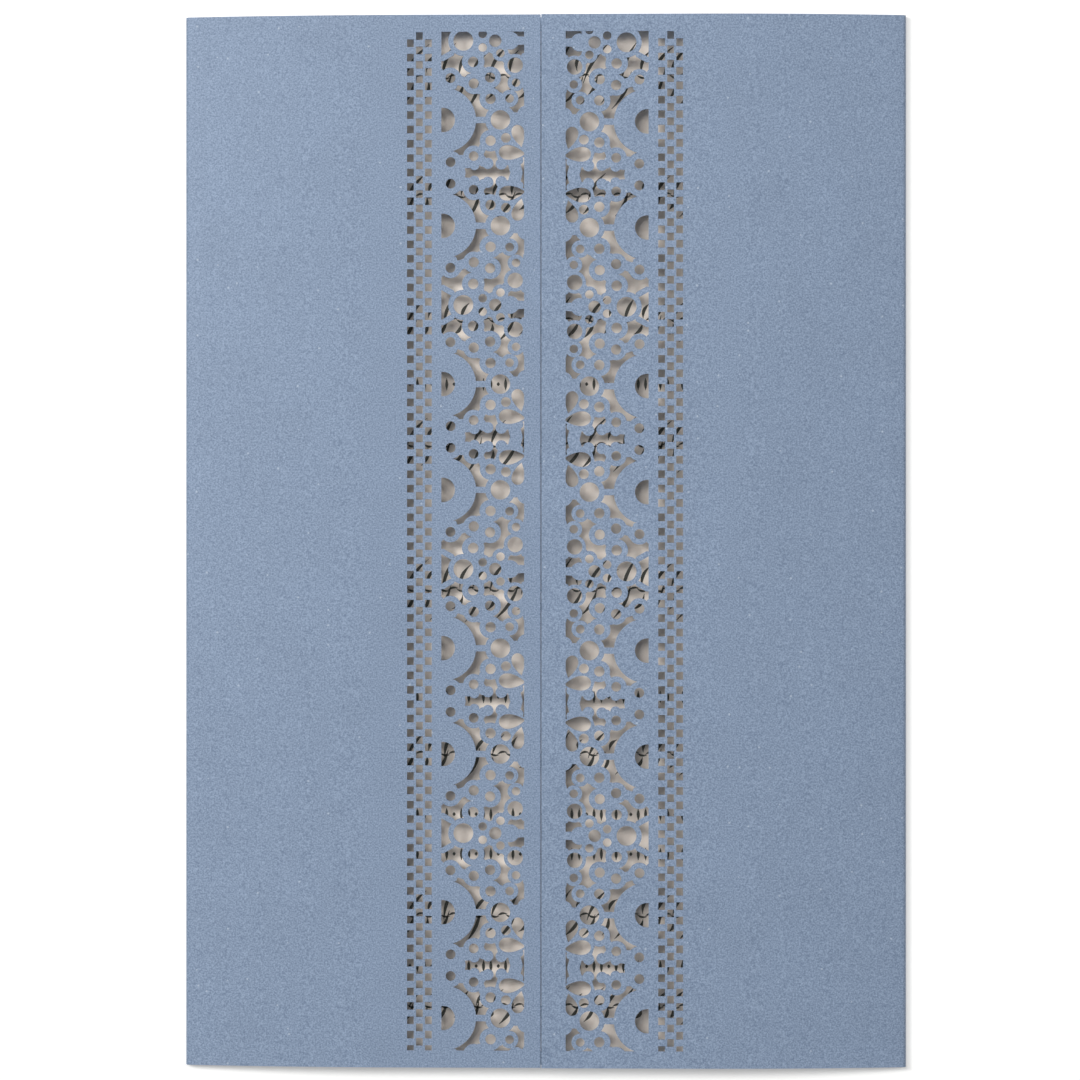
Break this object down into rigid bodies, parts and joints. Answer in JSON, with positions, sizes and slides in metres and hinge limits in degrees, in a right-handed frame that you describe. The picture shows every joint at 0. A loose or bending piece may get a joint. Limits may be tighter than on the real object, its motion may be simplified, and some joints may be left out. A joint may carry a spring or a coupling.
{
  "type": "laser cut invitation cover",
  "caption": "Gatefold card cover with lace-like laser cut bands and ladders of small squares along both flaps, holding an insert card taped inside.",
  "frame": {"origin": "under the middle of the back panel, on the surface that the cover lies on", "axes": "+Z out of the cover's front, +Y up the card, +X to the right as seen from the front"},
  "size_m": [0.127, 0.185, 0.0041],
  "materials": {
    "card": "pearlescent, fine grain",
    "insert": "smooth ivory card",
    "tape": "satin"
  },
  "bodies": {
    "back": {"back_panel": "card", "insert_card": "insert", "tape_left": "tape", "tape_right": "tape"},
    "left": {"left_flap": "card"},
    "right": {"right_flap": "card"}
  },
  "joints": [
    {"name": "left_fold", "type": "hinge", "parent": "back", "child": "left", "pos_m": [-0.0635, 0, 0.0008], "axis": [0, -1, 0], "range_deg": [0, 174]},
    {"name": "right_fold", "type": "hinge", "parent": "back", "child": "right", "pos_m": [0.0635, 0, 0.0008], "axis": [0, 1, 0], "range_deg": [0, 173]}
  ]
}
